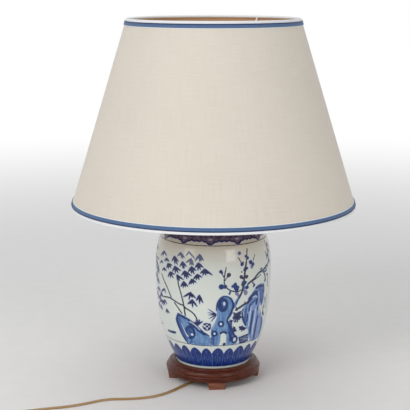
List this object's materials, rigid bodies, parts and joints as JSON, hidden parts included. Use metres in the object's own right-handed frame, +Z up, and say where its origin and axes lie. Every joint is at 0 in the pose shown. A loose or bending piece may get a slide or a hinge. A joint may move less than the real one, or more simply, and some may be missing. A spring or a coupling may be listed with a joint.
{
  "type": "table lamp",
  "caption": "Blue-and-white porcelain ginger jar lamp on a turned wooden stand, with a cone fabric shade on a screw lampholder and a coiled lead with plug.",
  "frame": {"origin": "middle of the four feet's underside, on the table, on the lamp's axis", "axes": "+Z up the lamp's axis, -Y towards the pictured front, +X to the right as seen from the front"},
  "size_m": [0.6097, 0.5088, 0.5786],
  "materials": {
    "stand_wood": "dark red-brown polish on turned hardwood",
    "foot_wood": "lighter red-brown polish",
    "jar_glaze": "pale grey-green glaze over painted cobalt blue",
    "brass": "lacquered brass",
    "zinc_steel": "zinc-plated steel",
    "rubber": "matt black",
    "bushing_plastic": "black moulded",
    "insulator_ceramic": "white glazed",
    "phenolic": "black-brown moulded",
    "bulb_glass": "clear blown glass",
    "bulb_aluminium": "rolled aluminium",
    "bulb_black_glass": "black vitrite",
    "tungsten": "drawn wire",
    "shade_fabric": "ivory laminated fabric",
    "shade_lining": "golden tan lining",
    "white_tape": "white woven tape",
    "blue_braid": "blue woven braid",
    "white_wire": "white powder-coated steel wire",
    "lead_plastic": "translucent gold vinyl",
    "plug_plastic": "black moulded",
    "pin_brass": "nickel-plated brass",
    "tie_plastic": "black tie"
  },
  "bodies": {
    "base": {"wooden_stand": "stand_wood", "stand_foot_front": "foot_wood", "stand_foot_right": "foot_wood", "stand_foot_back": "foot_wood", "stand_foot_left": "foot_wood", "jar_body": "jar_glaze", "threaded_rod": "zinc_steel", "stand_rubber_washer": "rubber", "stand_steel_washer": "zinc_steel", "stand_hex_nut": "zinc_steel", "lead_bushing": "bushing_plastic", "vase_cap": "brass", "neck_tube": "brass", "holder_cap": "brass", "holder_sleeve": "brass", "holder_insulator": "insulator_ceramic", "screw_shell": "brass", "centre_contact": "brass", "terminal_screws": "zinc_steel", "switch_block": "phenolic", "holder_grub_screw": "zinc_steel", "shade_ring_lower": "brass", "shade_ring_upper": "brass", "inner_flex": "lead_plastic", "lead_stretch": "lead_plastic", "lead_coil": "lead_plastic", "coil_tie": "tie_plastic", "plug_strain_relief": "plug_plastic", "plug_body": "plug_plastic", "plug_pin_1": "pin_brass", "plug_pin_2": "pin_brass"},
    "shade": {"shade_fabric": "shade_fabric", "shade_lining": "shade_lining", "shade_top_ring": "white_wire", "shade_bottom_ring": "white_wire", "shade_centre_ring": "white_wire", "shade_arm_1": "white_wire", "shade_arm_2": "white_wire", "shade_arm_3": "white_wire", "top_white_tape": "white_tape", "bottom_white_tape": "white_tape", "top_blue_braid": "blue_braid", "bottom_blue_braid": "blue_braid"},
    "bulb": {"bulb_glass": "bulb_glass", "bulb_cap": "bulb_aluminium", "bulb_cap_insulator": "bulb_black_glass", "bulb_contact": "zinc_steel", "bulb_stem": "bulb_glass", "filament_supports": "tungsten", "filament": "tungsten"},
    "switch": {"switch_knob": "phenolic", "switch_spindle": "zinc_steel"}
  },
  "joints": [
    {"name": "shade_turn", "type": "hinge", "parent": "base", "child": "shade", "pos_m": [0, 0, 0.401], "axis": [0, 0, 1], "continuous": true},
    {"name": "switch_turn", "type": "hinge", "parent": "base", "child": "switch", "pos_m": [0.03, 0, 0.3625], "axis": [1, 0, 0], "continuous": true},
    {"name": "bulb_unscrew", "type": "slide", "parent": "base", "child": "bulb", "axis": [0, 0, 1], "range_m": [0, 0.028]}
  ]
}
